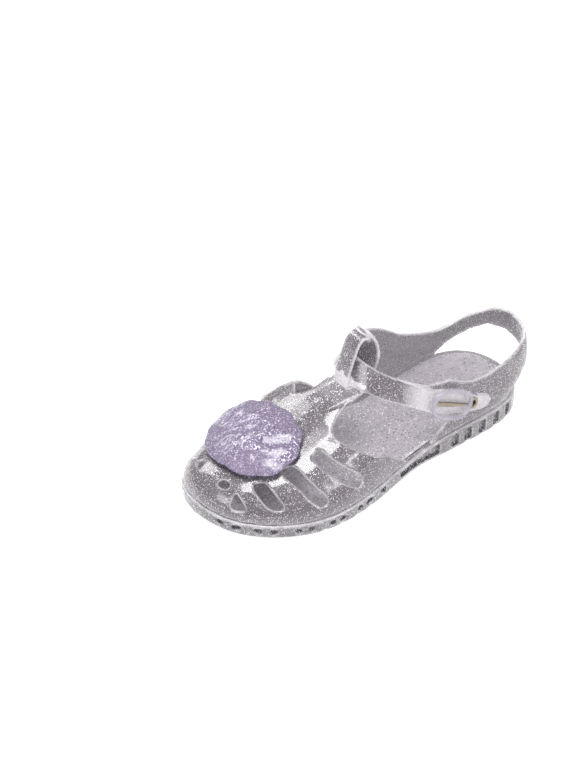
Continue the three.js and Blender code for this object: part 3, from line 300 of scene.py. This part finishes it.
soleLook = {**clearLook,
    "layers": [paintedRecessShade],
    "dark": (0.1, 0.09, 0.1, 1),
    "light": (0.27, 0.25, 0.275, 1),
    "alpha": 0.9,
    "flakeAlpha": 0.95,
}
bedLook = {**clearLook,
    "constants": {"IOR": 1.5, "Coat Weight": 0.15, "Coat Roughness": 0.3},
    "fine": {"size": 0.0006, "share": 0.5, "reach": 0.45},
    "coarse": {"size": 0.001, "share": 0.35, "reach": 0.42},
    "layers": [],
    "dark": (0.32, 0.29, 0.33, 1),
    "light": (0.56, 0.52, 0.57, 1),
    "flakeMetal": 0.5,
    # painted glow colour for the footbed's convex edges
    "edge": (0.66, 0.63, 0.68, 1),
    "flakeDark": (0.1, 0.085, 0.11, 1),
    "alpha": 1.0,
}
shellLook = {**clearLook,
    "constants": {"IOR": 1.5, "Coat Weight": 0.5, "Coat Roughness": 0.12, "Specular IOR Level": 0.25},
    "fine": {"size": 0.0006, "share": 0.55, "reach": 0.5},
    "coarse": {"size": 0.001, "share": 0.35, "reach": 0.45},
    "layers": [],
    "tilt": 0.5,
    "dark": (0.15, 0.12, 0.19, 1),
    "light": (0.26, 0.22, 0.3, 1),
    "edge": (0.24, 0.18, 0.38, 1),
    "flakeMetal": 0.3,
    "flakeDark": (0.08, 0.06, 0.14, 1),
    "flakeLight": (0.6, 0.56, 0.68, 1),
    "alpha": 1.0,
}
baseLook = {**shellLook,
    "fine": {"size": 0.0006, "share": 0.15, "reach": 0.5},
    "coarse": {"size": 0.0012, "share": 0.08, "reach": 0.42},
    "dark": (0.24, 0.18, 0.4, 1),
    "light": (0.34, 0.27, 0.5, 1),
    "alpha": 0.65,
    "flakeAlpha": 0.9,
}
clearPvc = glitterFinish("clearGlitterPvc", clearLook)
solePvc = glitterFinish("soleGlitterPvc", soleLook)
bedPvc = glitterFinish("footbedGlitter", bedLook)
shellPvc = glitterFinish("lavenderGlitter", shellLook)
basePvc = glitterFinish("lavenderBase", baseLook)
print("materials made")


# Upper, sole and ornament

upperSkin = {"merge": 1e-6, "grain": 0.0007, "softness": 0.5, "rounds": 5}
soleSkin = {**upperSkin, "grain": 0.0008, "rounds": 3}
shellSkin = {**upperSkin, "grain": 0.0004, "rounds": 4}
smallSkin = {**upperSkin, "grain": 0.0003, "rounds": 4}
wallReach = {"lift": 0.0002, "thick": 0.0045}
windowReach = {"lift": 0.0002, "slant": 1.4, "far": 0.011, "rays": 8, "quickRays": 4}

upper = mouldedCopy("upper", "upper_moulded", upperSkin)
addDepths(upper, wallReach)
finishPiece(upper, clearPvc)
outsole = mouldedCopy("outsole", "outsole_moulded", soleSkin)
addCavities(outsole, windowReach)
finishPiece(outsole, solePvc)
footbed = mouldedCopy("footbed", "footbed_moulded", soleSkin)
finishPiece(footbed, bedPvc)
print("upper and sole made")

fan = {
    "across": 0.3,
    "fore": 0.36,
    "firstAngle": 14,
    "stepAngle": -16,
    "count": 5,
    "start": 0.14,
    "end": 0.62,
    "half": 0.03,
    "leastHalf": 0.0001,
    "rise": 0.0007,
    "steepest": 0.3,
}


def raiseFan(piece, look):
    # fine ridges that spread from the hinge, in shares of the shell's own width and length
    corners = [Vector(corner) for corner in piece.bound_box]
    low, high = corners[0], corners[6]
    width, length = high.x - low.x, high.y - low.y
    hinge = Vector(((low.x + high.x) / 2 + look["across"] * width,
                    (low.y + high.y) / 2 + look["fore"] * length))
    for vertex in piece.data.vertices:
        offset = vertex.co.xy - hinge
        share = (offset.length / length - look["start"]) / (look["end"] - look["start"])
        if vertex.normal.z < look["steepest"] or not 0 < share < 1:
            continue
        swell = math.sin(math.pi * share)
        half = look["half"] * length * swell + look["leastHalf"]
        angle = math.degrees(math.atan2(offset.x, -offset.y))
        for number in range(look["count"]):
            turned = angle - look["firstAngle"] - look["stepAngle"] * number
            apart = abs(math.radians(turned)) * offset.length
            vertex.co.z += look["rise"] * swell * soften(half - apart, 0, half)


shell = mouldedCopy("shell", "shell_moulded", shellSkin)
raiseFan(shell, fan)
finishPiece(shell, shellPvc)
shellBase = mouldedCopy("shell_base", "shell_plate", shellSkin)
finishPiece(shellBase, basePvc)
print("shell made")


# Buckle and eyelet

def plainFinish(name, look):
    material, surface, wire = newFinish(name, look["constants"])
    place = wire.node("ShaderNodeTexCoord", None, None, "Object")
    stain = wire.node("ShaderNodeTexNoise", None,
                      {"Vector": place, "Scale": look["stainScale"], "Detail": look["stainDetail"],
                       "Roughness": look["stainRoughness"]})
    bump = wire.node("ShaderNodeBump", None,
                     {"Strength": look["bump"], "Distance": look["bumpRise"], "Height": stain})
    feed(surface, Base_Color=blendColours(wire, stain, look["dark"], look["light"]), Normal=bump,
         Roughness=look["roughness"] + look["dulling"] * stain)
    return material


buckleLook = {
    "constants": {"IOR": 1.5, "Coat Weight": 0.5, "Coat Roughness": 0.08, "Alpha": 0.55},
    "stainScale": 300.0,
    "stainDetail": 4.0,
    "stainRoughness": 0.7,
    "bump": 0.1,
    "bumpRise": 0.0002,
    "dulling": 0.15,
    "dark": (0.3, 0.27, 0.34, 1),
    "light": (0.62, 0.59, 0.68, 1),
    "roughness": 0.15,
}
brassLook = {**buckleLook,
    "constants": {"Metallic": 1.0},
    "stainScale": 700.0,
    "bump": 0.2,
    "dark": (0.12, 0.085, 0.05, 1),
    "light": (0.5, 0.42, 0.3, 1),
    "roughness": 0.25,
}
prongLook = {**brassLook, "dark": (0.1, 0.075, 0.05, 1), "light": (0.48, 0.42, 0.34, 1)}
buckle = mouldedCopy("buckle_frame", "buckle_ring", smallSkin)
finishPiece(buckle, plainFinish("milkyPlastic", buckleLook))
prong = mouldedCopy("buckle_prong", "buckle_pin", smallSkin)
finishPiece(prong, plainFinish("prongMetal", prongLook))
eyelet = mouldedCopy("eyelet", "strap_eyelet", smallSkin)
finishPiece(eyelet, plainFinish("eyeletBrass", brassLook))
print("buckle and eyelet made")


# Floor, light and camera

def addFloor(look):
    bpy.ops.object.select_all(action="DESELECT")
    bpy.ops.mesh.primitive_plane_add(size=look["size"], location=(0, 0, look["height"]))
    floor = bpy.context.active_object
    floor.name = "floor"
    material, surface, wire = newFinish("paleFloor", look["constants"])
    floor.data.materials.append(material)


def addSoftbox(name, look):
    light = bpy.data.lights.new(name, "AREA")
    light.shape = "RECTANGLE"
    light.size, light.size_y = look["size"]
    light.energy = look["power"]
    box = bpy.data.objects.new(name, light)
    bpy.context.scene.collection.objects.link(box)
    box.location = look["place"]
    box.rotation_euler = (Vector(look["at"]) - Vector(look["place"])).to_track_quat("-Z", "Y").to_euler()


floorLook = {
    "size": 12.0,
    "height": -0.0002,
    "constants": {"Base Color": (0.6, 0.6, 0.6, 1), "Roughness": 0.9, "Emission Color": (1, 1, 1, 1),
                  "Emission Strength": 0.62},
}
softboxes = {
    "overheadBox": {"place": (-0.1, 0.16, 1.05), "at": (0, 0.06, 0), "size": (0.42, 0.42), "power": 7.2},
    "outerBox": {"place": (-1.0, -0.35, 0.75), "at": (0, 0.06, 0.02), "size": (0.5, 0.5), "power": 6.0},
    "innerBox": {"place": (0.8, 0.25, 0.75), "at": (0, 0.08, 0.03), "size": (0.5, 0.5), "power": 5.5},
    "toeBox": {"place": (-0.1, 1.1, 0.55), "at": (0, 0.08, 0.02), "size": (0.5, 0.5), "power": 4.0},
}
addFloor(floorLook)
for name, look in softboxes.items():
    addSoftbox(name, look)

studio = {"ambient": 0.3}
world = bpy.data.worlds.new("studio")
world.use_nodes = True
world.node_tree.nodes["Background"].inputs["Color"].default_value = (1, 1, 1, 1)
world.node_tree.nodes["Background"].inputs["Strength"].default_value = studio["ambient"]
bpy.context.scene.world = world
bpy.context.scene.view_settings.view_transform = "Standard"
bpy.context.scene.cycles.transparent_max_bounces = 24

photoView = {
    "place": (-0.6035, 0.5666, 0.6575),
    "at": (0.0334, 0.0814, 0.03),
    "roll": 0.26,
    "lens": 95.26,
    "sensor": 36.0,
}
cameraData = bpy.data.cameras.new("camera")
cameraData.lens = photoView["lens"]
cameraData.sensor_width = photoView["sensor"]
camera = bpy.data.objects.new("camera", cameraData)
bpy.context.scene.collection.objects.link(camera)
camera.location = photoView["place"]
sight = Vector(photoView["at"]) - Vector(photoView["place"])
aimed = sight.to_track_quat("-Z", "Y").to_matrix()
camera.rotation_euler = (aimed @ Matrix.Rotation(math.radians(photoView["roll"]), 3, "Z")).to_euler()
bpy.context.scene.camera = camera
print("stage ready")
